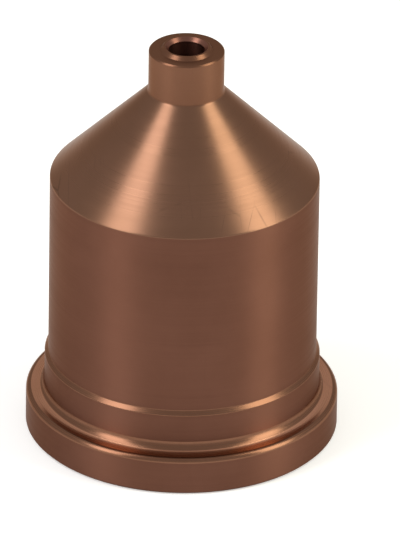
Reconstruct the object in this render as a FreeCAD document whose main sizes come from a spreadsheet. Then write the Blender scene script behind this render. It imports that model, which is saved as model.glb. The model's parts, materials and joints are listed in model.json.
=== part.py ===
import FreeCAD, Part
import os

import Sketcher

# Nozzle of an air plasma cutting torch, turned from one piece of copper bar.
#
# The nozzle stands on its flange, with the nose up. Going up, the outside is a thin flange, a
# short locating band, a plain barrel, a cone and a narrow nose, which ends in a flat face with
# a small raised lip round the exit. Inside, a wide seat at the flange takes the swirl ring, a
# chamber surrounds the electrode, and a cone that runs parallel to the outside leads the gas
# into the orifice, which opens into the wider exit.
#
# Frame: millimetres, +Z up along the turning axis, origin at the centre of the flange's face.

NODE = "nozzle"

# Lengths in millimetres, the angle in degrees. Each size is set here and nowhere else.
SIZES = {
    # outside, from the barrel outwards and upwards
    "barrel_diameter": 18.9,
    "barrel_length": 13.6,
    "band_rise": 0.25,
    "band_length": 2.75,
    "ledge_width": 1.3,
    "flange_thickness": 2.8,
    "cone_half_angle": 45.0,
    "nose_diameter": 5.3,
    "nose_length": 3.1,
    "lip_height": 0.25,
    "lip_crest": 0.12,
    # inside, from the flange's face up to the nose
    "seat_diameter": 16.0,
    "seat_depth": 6.0,
    "chamber_diameter": 12.0,
    "cone_wall": 2.6,
    "orifice_diameter": 1.6,
    "exit_diameter": 2.5,
    "exit_depth": 1.85,
    # roundings and chamfers
    "band_root_radius": 0.68,
    "flange_edge_radius": 0.35,
    "foot_chamfer": 0.2,
    "shoulder_radius": 0.15,
    "nose_root_radius": 0.25,
    "nose_edge_chamfer": 0.1,
    "seat_chamfer": 0.4,
    "chamber_chamfer": 0.3,
    "exit_chamfer": 0.25,
}

# What several features share, each as an expression on the sheet's cells.
BARREL_RADIUS = "(sizes.barrel_diameter / 2)"
BAND_RADIUS = f"({BARREL_RADIUS} + sizes.band_rise)"
FLANGE_RADIUS = f"({BAND_RADIUS} + sizes.ledge_width)"
NOSE_RADIUS = "(sizes.nose_diameter / 2)"
SEAT_RADIUS = "(sizes.seat_diameter / 2)"
CHAMBER_RADIUS = "(sizes.chamber_diameter / 2)"
ORIFICE_RADIUS = "(sizes.orifice_diameter / 2)"
EXIT_RADIUS = "(sizes.exit_diameter / 2)"
LIP_CREST_RADIUS = f"({EXIT_RADIUS} + sizes.exit_chamfer + sizes.lip_crest)"
LIP_FOOT_RADIUS = f"({LIP_CREST_RADIUS} + sizes.lip_height)"

CONE_RISE = "(1 / tan(sizes.cone_half_angle * 1 deg))"
CONE_WALL_RISE = "(sizes.cone_wall / sin(sizes.cone_half_angle * 1 deg))"

LEDGE_HEIGHT = "sizes.flange_thickness"
BAND_TOP = f"({LEDGE_HEIGHT} + sizes.band_length)"
BARREL_FOOT = f"({BAND_TOP} + sizes.band_rise)"
SHOULDER_HEIGHT = f"({BARREL_FOOT} + sizes.barrel_length)"
NOSE_FOOT = f"({SHOULDER_HEIGHT} + ({BARREL_RADIUS} - {NOSE_RADIUS}) * {CONE_RISE})"
NOSE_TOP = f"({NOSE_FOOT} + sizes.nose_length)"
LIP_TOP = f"({NOSE_TOP} + sizes.lip_height)"


def inner_cone_height(radius):
    """Height at which the inner cone, parallel to the outer one, has that radius."""
    return f"({SHOULDER_HEIGHT} + ({BARREL_RADIUS} - {radius}) * {CONE_RISE} - {CONE_WALL_RISE})"


def make_sheet(doc):
    """The spreadsheet of driving sizes: one named cell to a row."""
    sheet = doc.addObject("Spreadsheet::Sheet", "sizes")
    for row, (name, value) in enumerate(SIZES.items(), start=1):
        sheet.set(f"A{row}", name)
        sheet.set(f"B{row}", str(value))
        sheet.setAlias(f"B{row}", name)
    doc.recompute()
    return sheet


def origin_plane(body, role):
    """One of the body's own origin planes."""
    return next(plane for plane in body.Origin.OriginFeatures if plane.Role == role)


def value(body, expression):
    """What an expression on the sheet comes to, as a plain number of millimetres."""
    return float(body.evalExpression(expression))


def half_section(body, name, corners):
    """A closed outline beside the axis, through corners given as (radius, height) expressions."""
    sketch = body.newObject("Sketcher::SketchObject", name)
    sketch.AttachmentSupport = (origin_plane(body, "XZ_Plane"), [""])
    sketch.MapMode = "FlatFace"
    points = [
        FreeCAD.Vector(value(body, radius), value(body, height), 0)
        for radius, height in corners
    ]
    count = len(points)
    for index in range(count):
        following = points[(index + 1) % count]
        sketch.addGeometry(Part.LineSegment(points[index], following), False)
    for index in range(count):
        sketch.addConstraint(Sketcher.Constraint("Coincident", index, 2, (index + 1) % count, 1))
    for index, corner in enumerate(corners):
        for kind, expression in zip(("DistanceX", "DistanceY"), corner):
            size = value(body, expression)
            number = sketch.addConstraint(Sketcher.Constraint(kind, -1, 1, index, 1, size))
            sketch.setExpression(f"Constraints[{number}]", expression)
    return sketch


def ring_edges(feature, radius, height):
    """Names of the feature's full circles about the axis with that radius at that height."""
    near = 1e-4
    return [
        f"Edge{number}"
        for number, edge in enumerate(feature.Shape.Edges, start=1)
        if isinstance(edge.Curve, Part.Circle)
        and abs(edge.Curve.Radius - radius) < near
        and abs(edge.Curve.Center.z - height) < near
    ]


def dress_edge(body, kind, name, radius, height, size):
    """A Fillet or Chamfer of the body's ring edge with that radius at that height."""
    base = body.Tip
    edges = ring_edges(base, value(body, radius), value(body, height))
    if len(edges) != 1:
        raise RuntimeError(f"{name}: found {len(edges)} edges instead of one")
    feature = body.newObject(f"PartDesign::{kind}", name)
    feature.Base = (base, edges)
    feature.setExpression("Radius" if kind == "Fillet" else "Size", size)
    body.Document.recompute()
    return feature


def add_outside(body):
    """The turned outside: flange, band, barrel, cone, nose and lip, as one revolved half-section."""
    sketch = half_section(body, "outside_section", [
        ("0", "0"),
        (FLANGE_RADIUS, "0"),
        (FLANGE_RADIUS, LEDGE_HEIGHT),
        (BAND_RADIUS, LEDGE_HEIGHT),
        (BAND_RADIUS, BAND_TOP),
        (BARREL_RADIUS, BARREL_FOOT),
        (BARREL_RADIUS, SHOULDER_HEIGHT),
        (NOSE_RADIUS, NOSE_FOOT),
        (NOSE_RADIUS, NOSE_TOP),
        (LIP_FOOT_RADIUS, NOSE_TOP),
        (LIP_CREST_RADIUS, LIP_TOP),
        ("0", LIP_TOP),
    ])
    outside = body.newObject("PartDesign::Revolution", "outside")
    outside.Profile = sketch
    outside.ReferenceAxis = (sketch, ["V_Axis"])
    outside.Angle = 360
    body.Document.recompute()


def bore_inside(body):
    """The bore from the flange's face: seat, chamber and the cone down to the orifice's size."""
    sketch = half_section(body, "bore_section", [
        ("0", "0"),
        (SEAT_RADIUS, "0"),
        (SEAT_RADIUS, "sizes.seat_depth"),
        (CHAMBER_RADIUS, "sizes.seat_depth"),
        (CHAMBER_RADIUS, inner_cone_height(CHAMBER_RADIUS)),
        (ORIFICE_RADIUS, inner_cone_height(ORIFICE_RADIUS)),
        ("0", inner_cone_height(ORIFICE_RADIUS)),
    ])
    bore = body.newObject("PartDesign::Groove", "bore")
    bore.Profile = sketch
    bore.ReferenceAxis = (sketch, ["V_Axis"])
    bore.Angle = 360
    body.Document.recompute()


def drill_orifice(body):
    """The orifice, drilled through the nose and counterbored from the lip as the exit."""
    sketch = body.newObject("Sketcher::SketchObject", "orifice_centre")
    sketch.AttachmentSupport = (origin_plane(body, "XY_Plane"), [""])
    sketch.MapMode = "FlatFace"
    sketch.setExpression(".AttachmentOffset.Base.z", LIP_TOP)
    sketch.addGeometry(Part.Circle(FreeCAD.Vector(), FreeCAD.Vector(0, 0, 1), 1), False)
    sketch.addConstraint(Sketcher.Constraint("Coincident", 0, 3, -1, 1))
    size = sketch.addConstraint(Sketcher.Constraint("Diameter", 0, 1))
    sketch.setExpression(f"Constraints[{size}]", "sizes.orifice_diameter")
    body.Document.recompute()
    orifice = body.newObject("PartDesign::Hole", "orifice")
    orifice.Profile = sketch
    orifice.DepthType = "ThroughAll"
    orifice.HoleCutType = "Counterbore"
    orifice.setExpression("Diameter", "sizes.orifice_diameter")
    orifice.setExpression("HoleCutDiameter", "sizes.exit_diameter")
    orifice.setExpression("HoleCutDepth", "sizes.exit_depth")
    body.Document.recompute()


def dress_outside(body):
    """The outside's roundings and chamfers, from the foot up to the nose."""
    dress_edge(body, "Chamfer", "foot_edge", FLANGE_RADIUS, "0", "sizes.foot_chamfer")
    dress_edge(body, "Fillet", "flange_edge", FLANGE_RADIUS, LEDGE_HEIGHT, "sizes.flange_edge_radius")
    dress_edge(body, "Fillet", "band_root", BAND_RADIUS, LEDGE_HEIGHT, "sizes.band_root_radius")
    dress_edge(body, "Fillet", "shoulder", BARREL_RADIUS, SHOULDER_HEIGHT, "sizes.shoulder_radius")
    dress_edge(body, "Fillet", "nose_root", NOSE_RADIUS, NOSE_FOOT, "sizes.nose_root_radius")
    dress_edge(body, "Chamfer", "nose_edge", NOSE_RADIUS, NOSE_TOP, "sizes.nose_edge_chamfer")


def dress_inside(body):
    """The chamfers that lead into the seat, the chamber and the exit."""
    dress_edge(body, "Chamfer", "seat_mouth", SEAT_RADIUS, "0", "sizes.seat_chamfer")
    dress_edge(body, "Chamfer", "chamber_mouth", CHAMBER_RADIUS, "sizes.seat_depth", "sizes.chamber_chamfer")
    dress_edge(body, "Chamfer", "exit_mouth", EXIT_RADIUS, LIP_TOP, "sizes.exit_chamfer")


def make_nozzle(doc):
    """The nozzle as one body."""
    body = doc.addObject("PartDesign::Body", NODE)
    body.Label = NODE
    body.Placement = FreeCAD.Placement()
    add_outside(body)
    bore_inside(body)
    drill_orifice(body)
    dress_outside(body)
    dress_inside(body)
    return body


def check(doc, body):
    """Stops the build if any object failed or the body isn't one sound solid."""
    for item in doc.Objects:
        if {"Invalid", "Error"} & set(item.State):
            raise RuntimeError(f"{item.Name} failed: {item.State}")
    if body.Shape.isNull() or not body.Shape.isValid() or len(body.Shape.Solids) != 1:
        raise RuntimeError(f"{body.Label} isn't one valid solid")


document = FreeCAD.newDocument("plasma_torch_nozzle")
make_sheet(document)
nozzle = make_nozzle(document)
document.recompute()
check(document, nozzle)
os.makedirs("parts", exist_ok=True)
nozzle.Shape.exportStep(os.path.join("parts", f"{nozzle.Label}.step"))
print(f"{nozzle.Label}: {nozzle.Shape.Volume:.2f} mm3, {nozzle.Shape.BoundBox}")
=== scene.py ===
import json
import math

import bmesh
import bpy
from mathutils import Matrix, Vector


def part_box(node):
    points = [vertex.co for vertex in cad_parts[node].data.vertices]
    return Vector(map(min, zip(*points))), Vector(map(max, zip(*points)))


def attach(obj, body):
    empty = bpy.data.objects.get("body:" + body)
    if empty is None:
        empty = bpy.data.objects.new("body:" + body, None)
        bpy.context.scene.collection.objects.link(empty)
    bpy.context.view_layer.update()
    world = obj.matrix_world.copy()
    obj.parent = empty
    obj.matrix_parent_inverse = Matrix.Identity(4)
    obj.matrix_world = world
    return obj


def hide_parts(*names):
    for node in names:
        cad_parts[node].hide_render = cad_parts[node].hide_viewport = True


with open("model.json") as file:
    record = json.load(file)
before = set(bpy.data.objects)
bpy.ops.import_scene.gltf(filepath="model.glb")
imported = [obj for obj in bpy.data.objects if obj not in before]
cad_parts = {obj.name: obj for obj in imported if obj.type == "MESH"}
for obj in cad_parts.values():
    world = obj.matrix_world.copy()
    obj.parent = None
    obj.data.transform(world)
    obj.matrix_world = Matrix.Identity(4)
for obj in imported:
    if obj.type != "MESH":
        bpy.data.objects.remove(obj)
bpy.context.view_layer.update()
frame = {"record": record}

MM = 0.001
mounts = {mount["name"]: mount for mount in frame["record"]["mounts"]}


# ---------------------------------------------------------------- sizes, in millimetres

def mount_radius(name):
    return mounts[name]["dims"]["r_mm"]


def mount_height(name):
    return mounts[name]["pos_m"][2] / MM


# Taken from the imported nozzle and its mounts.
_, top_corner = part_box("nozzle")
FLANGE_RADIUS = top_corner.x / MM
LIP_TOP = top_corner.z / MM
BAND_RADIUS = mount_radius("locating_band")
BARREL_RADIUS = mount_radius("barrel")
SEAT_RADIUS = mount_radius("swirl_ring_seat")
CHAMBER_RADIUS = mount_radius("electrode_chamber")
ORIFICE_RADIUS = mount_radius("orifice")
EXIT_RADIUS = mount_radius("orifice_exit")
LEDGE_HEIGHT = mount_height("clamp_ledge")
SEAT_DEPTH = mount_height("swirl_ring_stop")

# No mount gives these, so they repeat the named sizes of the CAD.
NOSE_RADIUS = 2.65
NOSE_LENGTH = 3.1
LIP_HEIGHT = 0.25
LIP_CREST = 0.12
EXIT_CHAMFER = 0.25
EXIT_DEPTH = 1.85
BAND_LENGTH = 2.75
CONE_WALL = 2.6
FOOT_CHAMFER = 0.2
SEAT_CHAMFER = 0.4
CHAMBER_CHAMFER = 0.3
NOSE_EDGE = 0.1
FLANGE_EDGE_RADIUS = 0.35
BAND_ROOT_RADIUS = 0.68
SHOULDER_RADIUS = 0.15
NOSE_ROOT_RADIUS = 0.25

# Every edge that the CAD leaves sharp is broken by this much.
SOFT_EDGE = 0.04

# The cone and every chamfer lie at 45 degrees, so they rise as much as they narrow.
BAND_TOP = LEDGE_HEIGHT + BAND_LENGTH
BARREL_FOOT = BAND_TOP + BAND_RADIUS - BARREL_RADIUS
NOSE_TOP = LIP_TOP - LIP_HEIGHT
NOSE_FOOT = NOSE_TOP - NOSE_LENGTH
SHOULDER = NOSE_FOOT - (BARREL_RADIUS - NOSE_RADIUS)
LIP_CREST_RADIUS = EXIT_RADIUS + EXIT_CHAMFER + LIP_CREST
LIP_FOOT_RADIUS = LIP_CREST_RADIUS + LIP_HEIGHT

# Where the inner cone would meet the axis. Its wall is measured square to the cone.
INNER_CONE_TIP = SHOULDER + BARREL_RADIUS - CONE_WALL * math.sqrt(2)


# ---------------------------------------------------------------- the turned body

SPIN_STEPS = 360
ARC_STEPS = 10
SOFT_EDGE_STEPS = 3

# A straight run is cut this far in from both ends, unless it is too short to be worth it.
HOLD = 0.03
SHORTEST_HELD = 4 * HOLD

# Corners of the half-section as (radius, height, rounding), up the outside and down the bore.
SECTION = [
    (FLANGE_RADIUS - FOOT_CHAMFER, 0, SOFT_EDGE),
    (FLANGE_RADIUS, FOOT_CHAMFER, SOFT_EDGE),
    (FLANGE_RADIUS, LEDGE_HEIGHT, FLANGE_EDGE_RADIUS),
    (BAND_RADIUS, LEDGE_HEIGHT, BAND_ROOT_RADIUS),
    (BAND_RADIUS, BAND_TOP, SOFT_EDGE),
    (BARREL_RADIUS, BARREL_FOOT, SOFT_EDGE),
    (BARREL_RADIUS, SHOULDER, SHOULDER_RADIUS),
    (NOSE_RADIUS, NOSE_FOOT, NOSE_ROOT_RADIUS),
    (NOSE_RADIUS, NOSE_TOP - NOSE_EDGE, SOFT_EDGE),
    (NOSE_RADIUS - NOSE_EDGE, NOSE_TOP, SOFT_EDGE),
    (LIP_FOOT_RADIUS, NOSE_TOP, SOFT_EDGE),
    (LIP_CREST_RADIUS, LIP_TOP, SOFT_EDGE),
    (EXIT_RADIUS + EXIT_CHAMFER, LIP_TOP, SOFT_EDGE),
    (EXIT_RADIUS, LIP_TOP - EXIT_CHAMFER, SOFT_EDGE),
    (EXIT_RADIUS, LIP_TOP - EXIT_DEPTH, SOFT_EDGE),
    (ORIFICE_RADIUS, LIP_TOP - EXIT_DEPTH, SOFT_EDGE),
    (ORIFICE_RADIUS, INNER_CONE_TIP - ORIFICE_RADIUS, SOFT_EDGE),
    (CHAMBER_RADIUS, INNER_CONE_TIP - CHAMBER_RADIUS, SOFT_EDGE),
    (CHAMBER_RADIUS, SEAT_DEPTH + CHAMBER_CHAMFER, SOFT_EDGE),
    (CHAMBER_RADIUS + CHAMBER_CHAMFER, SEAT_DEPTH, SOFT_EDGE),
    (SEAT_RADIUS, SEAT_DEPTH, SOFT_EDGE),
    (SEAT_RADIUS, SEAT_CHAMFER, SOFT_EDGE),
    (SEAT_RADIUS + SEAT_CHAMFER, 0, SOFT_EDGE),
]


def round_corner(bm, vert, rounding):
    """Turns one corner of the wire into an arc of that radius."""
    before, after = [edge.other_vert(vert).co - vert.co for edge in vert.link_edges]
    turn = math.pi - before.angle(after)
    bmesh.ops.bevel(
        bm,
        geom=[vert],
        offset=rounding * MM * math.tan(turn / 2),
        offset_type="OFFSET",
        segments=SOFT_EDGE_STEPS if rounding == SOFT_EDGE else ARC_STEPS,
        profile=0.5,
        affect="VERTICES",
        material=-1,
    )


def hold_straight(bm, edge):
    """Cuts a straight run just inside both ends, so that shading keeps it straight."""
    length = edge.calc_length()
    if length < SHORTEST_HELD * MM:
        return
    share = HOLD * MM / length
    cut = bmesh.ops.bisect_edges(bm, edges=[edge], cuts=1, edge_percents={edge: share})
    middle = next(item for item in cut["geom_split"] if isinstance(item, bmesh.types.BMVert))
    rest = max(middle.link_edges, key=lambda item: item.calc_length())
    far_end = rest.other_vert(middle)
    share = HOLD * MM / rest.calc_length()
    from_far_end = share if rest.verts[0] == far_end else 1 - share
    bmesh.ops.bisect_edges(bm, edges=[rest], cuts=1, edge_percents={rest: from_far_end})


def turned_body():
    """The nozzle as one closed surface, spun from its half-section."""
    bm = bmesh.new()
    corners = [bm.verts.new((radius * MM, 0, height * MM)) for radius, height, _ in SECTION]
    for first, second in zip(corners, corners[1:] + corners[:1]):
        bm.edges.new((first, second))
    for corner, (_, _, rounding) in zip(corners, SECTION):
        round_corner(bm, corner, rounding)
    for edge in list(bm.edges):
        hold_straight(bm, edge)
    bmesh.ops.spin(
        bm,
        geom=bm.verts[:] + bm.edges[:],
        cent=(0, 0, 0),
        axis=(0, 0, 1),
        dvec=(0, 0, 0),
        angle=math.tau,
        steps=SPIN_STEPS,
        use_merge=True,
        use_duplicate=False,
    )
    bmesh.ops.recalc_face_normals(bm, faces=bm.faces[:])
    return bm


# The flat ledge and the foot of the fillet get a much brighter copper, a painted reflection, where
# their normal stands at least this high.
REFLECTION_TILT = 0.82


def finish_of(face):
    """The name of the finish that a face has, from where it lies on the nozzle."""
    middle = face.calc_center_median() / MM
    radius = math.hypot(middle.x, middle.y)
    outward = face.normal.x * middle.x + face.normal.y * middle.y
    inside = outward < 0 and radius < SEAT_RADIUS + SEAT_CHAMFER
    # The flat steps of the bore face neither in nor out, so their height tells them.
    steps = (SEAT_DEPTH, LIP_TOP - EXIT_DEPTH)
    on_step = any(abs(middle.z - step) < SOFT_EDGE for step in steps) and radius < SEAT_RADIUS
    if inside or on_step:
        return "bore_copper"
    if middle.z > NOSE_FOOT:
        return "nose_copper"
    if middle.z > SHOULDER - SHOULDER_RADIUS / 2:
        return "bright_cut_copper"
    if LEDGE_HEIGHT - FLANGE_EDGE_RADIUS < middle.z < LEDGE_HEIGHT + BAND_ROOT_RADIUS:
        # Upward faces of the ledge get a painted reflection: a much brighter copper that stands in
        # for the light bounced between band and flange.
        on_ledge = face.normal.z > REFLECTION_TILT and radius < FLANGE_RADIUS - FLANGE_EDGE_RADIUS
        return "painted_reflection_copper" if on_ledge else "worn_copper"
    # Everything else, barrel, band and flange sides, gets the satin copper, darkened in part as
    # painted shade.
    on_band_step = BAND_TOP - SOFT_EDGE < middle.z < BARREL_FOOT + SOFT_EDGE
    return "worn_copper" if on_band_step else "satin_shaded_copper"


# ---------------------------------------------------------------- finishes

EDGE_TINT = (0.72, 0.60, 0.54, 1)
SCRATCH_COLOUR = (0.09, 0.05, 0.035, 1)

# A quarter turn lays stretched reflections along the axis.
QUARTER_TURN = 0.25

RING_PITCH = 0.12
RING_DETAIL = 3.0
RING_HARSHNESS = 0.7
CLOUD_SIZE = 6.0
CLOUD_DETAIL = 4.0
CLOUD_HARSHNESS = 0.55
GRAINS_TO_A_METRE = 6000.0
GRAIN_DETAIL = 2.0
GRAIN_HARSHNESS = 0.5
SCRATCHES_TO_A_METRE = 700.0
SCRATCH_WIDTH = 0.012
SCRATCH_SLANT = (0.5, 0.9, 0.3)
SCRATCH_STRETCH = (1.0, 0.12, 0.12)

# The stretch of a mask over which scratches appear, tarnish deepens and rings roughen.
SCRATCHED_CLOUDS = (0.56, 0.64)
TARNISHED_CLOUDS = (0.35, 0.65)
ROUGH_RINGS = (0.3, 0.7)

# Dark and light are the two tarnish colours, whose overall level also holds painted light: painted
# shade in the satin copper of the barrel, and painted reflection in the much brighter copper of the
# ledge. Roughness strays by its spread from ring to ring.
# Grooving stretches reflections along the axis, because the tool's grooves run round it.
# Scoring is how far stray scratches stand out.
FINISHES = {
    # Partly tarnish, partly painted shade: darkened below the other finishes to stand in for the
    # dark surroundings that the barrel, band and flange sides would mirror.
    "satin_shaded_copper": dict(
        dark=(0.134, 0.058, 0.038),
        light=(0.150, 0.066, 0.044),
        roughness=0.42,
        spread=0.04,
        grooving=0.8,
        scoring=0.15,
        ring_depth=0.0008,
        grain_depth=0.0012,
    ),
    "bright_cut_copper": dict(
        dark=(0.192, 0.098, 0.061),
        light=(0.214, 0.110, 0.071),
        roughness=0.30,
        spread=0.03,
        grooving=0.4,
        scoring=0.6,
        ring_depth=0.0003,
        grain_depth=0.0003,
    ),
    "nose_copper": dict(
        dark=(0.160, 0.073, 0.043),
        light=(0.178, 0.083, 0.050),
        roughness=0.36,
        spread=0.04,
        grooving=0.6,
        scoring=0.2,
        ring_depth=0.0003,
        grain_depth=0.0006,
    ),
    "worn_copper": dict(
        dark=(0.180, 0.084, 0.051),
        light=(0.200, 0.096, 0.059),
        roughness=0.27,
        spread=0.03,
        grooving=0.5,
        scoring=0.2,
        ring_depth=0.0003,
        grain_depth=0.0003,
    ),
    # Painted reflection: a copper over twice as bright as the rest, standing in for the orange
    # light bounced into the crevice between band and flange.
    "painted_reflection_copper": dict(
        dark=(0.42, 0.20, 0.12),
        light=(0.47, 0.23, 0.145),
        roughness=0.28,
        spread=0.04,
        grooving=0.5,
        scoring=0.2,
        ring_depth=0.0003,
        grain_depth=0.0003,
    ),
    "bore_copper": dict(
        dark=(0.16, 0.07, 0.05),
        light=(0.24, 0.11, 0.08),
        roughness=0.36,
        spread=0.05,
        grooving=0.5,
        scoring=0.2,
        ring_depth=0.0015,
        grain_depth=0.001,
    ),
}


def add_node(tree, kind, label, **settings):
    node = tree.nodes.new(kind)
    node.label = label
    for name, value in settings.items():
        setattr(node, name, value)
    return node


def feed(tree, socket, source):
    """Links another node's output to a socket, or sets the socket to a plain value."""
    if isinstance(source, bpy.types.NodeSocket):
        tree.links.new(source, socket)
    else:
        socket.default_value = source


def add_math(tree, label, operation, first, second):
    node = add_node(tree, "ShaderNodeMath", label, operation=operation)
    feed(tree, node.inputs[0], first)
    feed(tree, node.inputs[1], second)
    return node.outputs[0]


def add_range(tree, label, value, ends, becomes=(0.0, 1.0)):
    """Stretches the part of a mask between two ends over a new pair of values."""
    node = add_node(tree, "ShaderNodeMapRange", label)
    node.inputs["From Min"].default_value, node.inputs["From Max"].default_value = ends
    node.inputs["To Min"].default_value, node.inputs["To Max"].default_value = becomes
    tree.links.new(value, node.inputs["Value"])
    return node.outputs[0]


def add_noise(tree, label, point, fineness, detail, harshness, dimensions="3D"):
    node = add_node(tree, "ShaderNodeTexNoise", label, noise_dimensions=dimensions)
    node.inputs["Detail"].default_value = detail
    node.inputs["Roughness"].default_value = harshness
    tree.links.new(point, node.inputs["Vector"])
    feed(tree, node.inputs["Scale"], fineness)
    return node.outputs["Fac"]


def add_mix(tree, label, share, first, second):
    node = add_node(tree, "ShaderNodeMix", label, data_type="RGBA")
    tree.links.new(share, node.inputs["Factor"])
    feed(tree, node.inputs["A"], first)
    feed(tree, node.inputs["B"], second)
    return node.outputs["Result"]


def add_relief(tree, label, height, depth):
    """A bump of a depth in millimetres."""
    node = add_node(tree, "ShaderNodeBump", label)
    node.inputs["Strength"].default_value = 1.0
    node.inputs["Distance"].default_value = depth * MM
    tree.links.new(height, node.inputs["Height"])
    return node


def section_point(tree, place):
    """Radius and height from the axis, so that rings follow the tool on every face."""
    split = add_node(tree, "ShaderNodeSeparateXYZ", "split")
    tree.links.new(place, split.inputs[0])
    across = add_node(tree, "ShaderNodeCombineXYZ", "across")
    tree.links.new(split.outputs["X"], across.inputs["X"])
    tree.links.new(split.outputs["Y"], across.inputs["Y"])
    radius = add_node(tree, "ShaderNodeVectorMath", "radius", operation="LENGTH")
    tree.links.new(across.outputs[0], radius.inputs[0])
    section = add_node(tree, "ShaderNodeCombineXYZ", "section point")
    tree.links.new(radius.outputs["Value"], section.inputs["X"])
    tree.links.new(split.outputs["Z"], section.inputs["Y"])
    return section.outputs[0]


def scratch_lines(tree, place):
    """Thin slanting scratches over the whole surface."""
    slant = add_node(tree, "ShaderNodeMapping", "scratch slant")
    slant.inputs["Rotation"].default_value = SCRATCH_SLANT
    slant.inputs["Scale"].default_value = SCRATCH_STRETCH
    tree.links.new(place, slant.inputs["Vector"])
    cells = add_node(tree, "ShaderNodeTexVoronoi", "scratches", feature="DISTANCE_TO_EDGE")
    cells.inputs["Scale"].default_value = SCRATCHES_TO_A_METRE
    tree.links.new(slant.outputs[0], cells.inputs["Vector"])
    distance = cells.outputs["Distance"]
    return add_range(tree, "thin lines", distance, (0.0, SCRATCH_WIDTH), (1.0, 0.0))


def turning_group():
    """Rings left by the tool, soft tarnish, fine grain and stray scratches, as four masks."""
    tree = bpy.data.node_groups.new("turned_surface", "ShaderNodeTree")
    for name, default in (("Ring pitch", RING_PITCH), ("Cloud size", CLOUD_SIZE)):
        socket = tree.interface.new_socket(name=name, in_out="INPUT", socket_type="NodeSocketFloat")
        socket.default_value = default * MM
    for name in ("Rings", "Clouds", "Grain", "Scratches"):
        tree.interface.new_socket(name=name, in_out="OUTPUT", socket_type="NodeSocketFloat")
    start = add_node(tree, "NodeGroupInput", "start").outputs
    end = add_node(tree, "NodeGroupOutput", "end").inputs
    place = add_node(tree, "ShaderNodeTexCoord", "place").outputs["Object"]

    fineness = add_math(tree, "rings to a metre", "DIVIDE", 1.0, start["Ring pitch"])
    point = section_point(tree, place)
    rings = add_noise(tree, "rings", point, fineness, RING_DETAIL, RING_HARSHNESS, "2D")

    fineness = add_math(tree, "clouds to a metre", "DIVIDE", 1.0, start["Cloud size"])
    clouds = add_noise(tree, "clouds", place, fineness, CLOUD_DETAIL, CLOUD_HARSHNESS)
    grain = add_noise(tree, "grain", place, GRAINS_TO_A_METRE, GRAIN_DETAIL, GRAIN_HARSHNESS)

    lines = scratch_lines(tree, place)
    sparse = add_range(tree, "here and there", clouds, SCRATCHED_CLOUDS)
    scratches = add_math(tree, "kept scratches", "MULTIPLY", lines, sparse)

    tree.links.new(rings, end["Rings"])
    tree.links.new(clouds, end["Clouds"])
    tree.links.new(grain, end["Grain"])
    tree.links.new(scratches, end["Scratches"])
    return tree


def copper(
    name, surface, dark, light, roughness, spread, grooving, scoring, ring_depth, grain_depth
):
    """A turned copper finish, with the tool's rings and a fine grain in its relief."""
    material = bpy.data.materials.new(name)
    material.use_nodes = True
    tree = material.node_tree
    shader = tree.nodes["Principled BSDF"].inputs
    marks = add_node(tree, "ShaderNodeGroup", "turned surface", node_tree=surface).outputs

    shader["Metallic"].default_value = 1.0
    shader["Specular Tint"].default_value = EDGE_TINT
    shader["Anisotropic"].default_value = grooving
    shader["Anisotropic Rotation"].default_value = QUARTER_TURN
    grooves = add_node(
        tree, "ShaderNodeTangent", "round the axis", direction_type="RADIAL", axis="Z"
    )
    tree.links.new(grooves.outputs[0], shader["Tangent"])

    tarnish = add_range(tree, "tarnish", marks["Clouds"], TARNISHED_CLOUDS)
    colour = add_mix(tree, "colour", tarnish, (*dark, 1), (*light, 1))
    scored = add_math(tree, "scratch strength", "MULTIPLY", marks["Scratches"], scoring)
    scratched = add_mix(tree, "scratched colour", scored, colour, SCRATCH_COLOUR)
    tree.links.new(scratched, shader["Base Color"])

    limits = (roughness - spread, roughness + spread)
    rough = add_range(tree, "roughness", marks["Rings"], ROUGH_RINGS, limits)
    tree.links.new(rough, shader["Roughness"])

    ring_relief = add_relief(tree, "ring relief", marks["Rings"], ring_depth)
    grain_relief = add_relief(tree, "grain relief", marks["Grain"], grain_depth)
    tree.links.new(ring_relief.outputs[0], grain_relief.inputs["Normal"])
    tree.links.new(grain_relief.outputs[0], shader["Normal"])
    return material


def make_nozzle():
    """The turned body, with a finish on each of its faces."""
    numbers = {name: number for number, name in enumerate(FINISHES)}
    bm = turned_body()
    for face in bm.faces:
        face.smooth = True
        face.material_index = numbers[finish_of(face)]
    mesh = bpy.data.meshes.new("turned_nozzle")
    bm.to_mesh(mesh)
    bm.free()
    surface = turning_group()
    for name, finish in FINISHES.items():
        mesh.materials.append(copper(name, surface, **finish))
    piece = bpy.data.objects.new("turned_nozzle", mesh)
    bpy.context.scene.collection.objects.link(piece)
    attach(piece, "root")
    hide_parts("nozzle")


# ---------------------------------------------------------------- studio

FLOOR_REACH = 6000.0
FLOOR_GAP = 0.02
FLOOR_COLOUR = (0.82, 0.82, 0.82, 1)
FLOOR_ROUGHNESS = 0.9
GLOW_COLOUR = (1, 1, 1, 1)
GLOW_STRENGTH = 0.35

WORLD_COLOUR = (1.0, 0.99, 0.97, 1)
WORLD_STRENGTH = 0.62

# Each lamp is a tall panel. Azimuth and elevation place it and lean tips it aside, in degrees.
# Its radiance is how bright it looks in a mirror.
LAMP_REACH = 350.0
LAMPS = {
    "left_softbox": dict(
        azimuth=-61,
        elevation=37,
        lean=18,
        width=135.0,
        height=420.0,
        radiance=4.4,
        colour=(1.0, 1.0, 0.97),
    ),
    "right_softbox": dict(
        azimuth=76,
        elevation=31,
        lean=-18,
        width=150.0,
        height=420.0,
        radiance=4.3,
        colour=(1.0, 1.0, 0.81),
    ),
}


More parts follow.
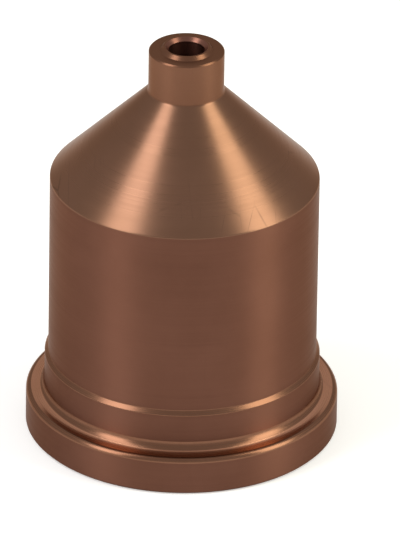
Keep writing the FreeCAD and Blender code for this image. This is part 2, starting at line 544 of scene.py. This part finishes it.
def floor_material():
    """Pale above and clear below, with a glow that only views and reflections pick up."""
    material = bpy.data.materials.new("pale_floor")
    material.use_nodes = True
    tree = material.node_tree
    shader = tree.nodes["Principled BSDF"]
    shader.inputs["Base Color"].default_value = FLOOR_COLOUR
    shader.inputs["Roughness"].default_value = FLOOR_ROUGHNESS
    shader.inputs["Specular IOR Level"].default_value = 0.0
    shader.inputs["Emission Color"].default_value = GLOW_COLOUR

    ray = add_node(tree, "ShaderNodeLightPath", "who looks").outputs
    seen = add_math(
        tree, "camera or mirror", "MAXIMUM", ray["Is Camera Ray"], ray["Is Glossy Ray"]
    )
    seen = add_math(tree, "or glass", "MAXIMUM", seen, ray["Is Transmission Ray"])
    glow = add_math(tree, "glow", "MULTIPLY", seen, GLOW_STRENGTH)
    tree.links.new(glow, shader.inputs["Emission Strength"])

    side = add_node(tree, "ShaderNodeNewGeometry", "which side")
    clear = add_node(tree, "ShaderNodeBsdfTransparent", "clear")
    either = add_node(tree, "ShaderNodeMixShader", "pale above, clear below")
    tree.links.new(side.outputs["Backfacing"], either.inputs[0])
    tree.links.new(shader.outputs[0], either.inputs[1])
    tree.links.new(clear.outputs[0], either.inputs[2])
    tree.links.new(either.outputs[0], tree.nodes["Material Output"].inputs["Surface"])
    return material


def make_floor():
    """A wide floor, a hair below the flange's face so that the two never share a plane."""
    bm = bmesh.new()
    bmesh.ops.create_grid(bm, x_segments=1, y_segments=1, size=FLOOR_REACH * MM)
    mesh = bpy.data.meshes.new("studio_floor")
    bm.to_mesh(mesh)
    bm.free()
    mesh.materials.append(floor_material())
    floor = bpy.data.objects.new("studio_floor", mesh)
    floor.location.z = -FLOOR_GAP * MM
    bpy.context.scene.collection.objects.link(floor)


def direction(azimuth, elevation):
    """Unit vector at an azimuth from the front, positive to the right, and an elevation."""
    around, up = math.radians(azimuth), math.radians(elevation)
    return Vector((math.sin(around) * math.cos(up), -math.cos(around) * math.cos(up), math.sin(up)))


def softbox(name, azimuth, elevation, lean, width, height, radiance, colour):
    """A lamp that faces the middle of the nozzle."""
    lamp = bpy.data.lights.new(name, "AREA")
    lamp.shape = "RECTANGLE"
    lamp.size = width * MM
    lamp.size_y = height * MM
    lamp.color = colour
    lamp.energy = radiance * math.pi * (width * MM) * (height * MM)
    piece = bpy.data.objects.new(name, lamp)
    bpy.context.scene.collection.objects.link(piece)
    middle = Vector((0, 0, LIP_TOP * MM / 2))
    out = direction(azimuth, elevation)
    facing = out.to_track_quat("Z", "Y").to_matrix() @ Matrix.Rotation(math.radians(lean), 3, "Z")
    piece.rotation_euler = facing.to_euler()
    piece.location = middle + out * (LAMP_REACH * MM)


def make_lights():
    """An even world and the two lamps."""
    world = bpy.data.worlds.new("studio")
    world.use_nodes = True
    world.node_tree.nodes["Background"].inputs["Color"].default_value = WORLD_COLOUR
    world.node_tree.nodes["Background"].inputs["Strength"].default_value = WORLD_STRENGTH
    bpy.context.scene.world = world
    for name, lamp in LAMPS.items():
        softbox(name, **lamp)


# ---------------------------------------------------------------- camera

VIEW_ELEVATION = 28.0
VIEW_ROLL = 0.9
VIEW_DISTANCE = 800.0
VIEW_WIDTH = 28.10
VIEW_CENTRE = (1.16, 12.22)
VIEW_DEPTH = 20000.0


def make_camera():
    """A long lens in front of the nozzle, looking down at it."""
    lens = bpy.data.cameras.new("camera")
    lens.sensor_fit = "HORIZONTAL"
    lens.lens = lens.sensor_width * VIEW_DISTANCE / VIEW_WIDTH
    lens.clip_end = VIEW_DEPTH * MM
    camera = bpy.data.objects.new("camera", lens)
    bpy.context.scene.collection.objects.link(camera)
    out = direction(0, VIEW_ELEVATION)
    across, up = VIEW_CENTRE
    target = Vector((across, 0, up)) * MM
    roll = Matrix.Rotation(math.radians(VIEW_ROLL), 4, "Z")
    camera.matrix_world = (
        Matrix.Translation(target + out * (VIEW_DISTANCE * MM))
        @ out.to_track_quat("Z", "Y").to_matrix().to_4x4()
        @ roll
    )
    bpy.context.scene.camera = camera


make_nozzle()
make_floor()
make_lights()
make_camera()
bpy.context.scene.view_settings.view_transform = "Standard"
